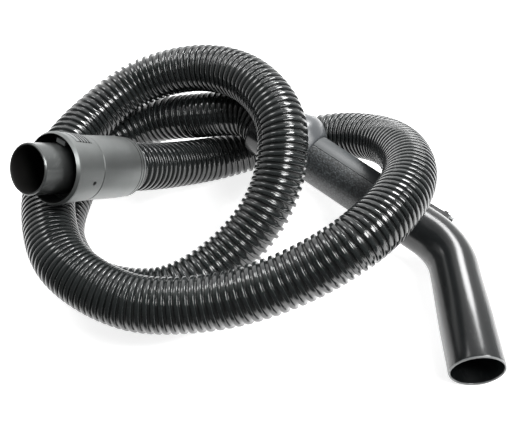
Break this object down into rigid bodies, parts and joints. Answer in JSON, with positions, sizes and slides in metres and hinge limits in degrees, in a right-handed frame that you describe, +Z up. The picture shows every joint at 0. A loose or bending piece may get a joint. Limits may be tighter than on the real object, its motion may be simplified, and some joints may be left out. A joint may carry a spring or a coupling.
{
  "type": "vacuum cleaner hose",
  "caption": "Ribbed vacuum cleaner hose lying in loose coils, with a latching swivel connector for the machine at one end and a bent handle with a suction slider at the other.",
  "frame": {"origin": "on the supporting surface under the middle of the box round the connector and the handle together", "axes": "+Z up; -Y is the side the wand's mouth points to; +X is the handle's side and -X the machine connector's side, with the hose lying as stored on a flat surface"},
  "size_m": [0.3364, 0.2701, 0.1318],
  "materials": {
    "hose_black": "glossy black ribbed hose wall",
    "connector_grey": "satin mid grey moulded plastic",
    "cuff_grey": "satin light grey moulded plastic",
    "seal_rubber": "soft black rubber",
    "spring_steel": "bright steel",
    "handle_black": "polished black plastic",
    "grip_grain": "fine grained black plastic",
    "grip_smooth": "smooth satin dark grey plastic",
    "ring_natural": "natural bearing plastic"
  },
  "bodies": {
    "hose_body": {"hose": "hose_black", "machine_cuff": "cuff_grey", "machine_seal": "seal_rubber", "handle_cuff": "handle_black", "handle_seal": "seal_rubber"},
    "connector": {"machine_spigot": "connector_grey", "front_collar": "connector_grey", "sleeve_upper_half": "connector_grey", "sleeve_lower_half": "connector_grey", "latch_pin": "spring_steel", "latch_spring": "spring_steel"},
    "latch": {"latch_button": "connector_grey"},
    "handle": {"retaining_ring": "ring_natural", "cuff_cap": "handle_black", "neck_ring": "handle_black", "wand_tube": "handle_black", "grip_lower_shell": "grip_grain", "grip_upper_shell": "grip_smooth", "slider_rail": "handle_black"},
    "slider": {"suction_slider": "handle_black"}
  },
  "joints": [
    {"name": "machine_swivel", "type": "hinge", "parent": "hose_body", "child": "connector", "pos_m": [-0.11649, 0.01317, 0.08434], "axis": [-0.5163, -0.6609, 0.5446], "continuous": true},
    {"name": "latch_press", "type": "hinge", "parent": "connector", "child": "latch", "pos_m": [-0.12629, 0.00063, 0.11858], "axis": [-0.788, 0.6157, 0], "range_deg": [0, 6], "stiffness_Nm_per_rad": 0.5, "springref_deg": -2.86, "deforming": ["latch_spring"]},
    {"name": "handle_swivel", "type": "hinge", "parent": "hose_body", "child": "handle", "pos_m": [0.02338, 0.08236, 0.05464], "axis": [0.7751, -0.6055, -0.1805], "continuous": true},
    {"name": "suction_slide", "type": "slide", "parent": "handle", "child": "slider", "axis": [-0.8016, 0.5693, 0.1825], "range_m": [0, 0.014]}
  ]
}
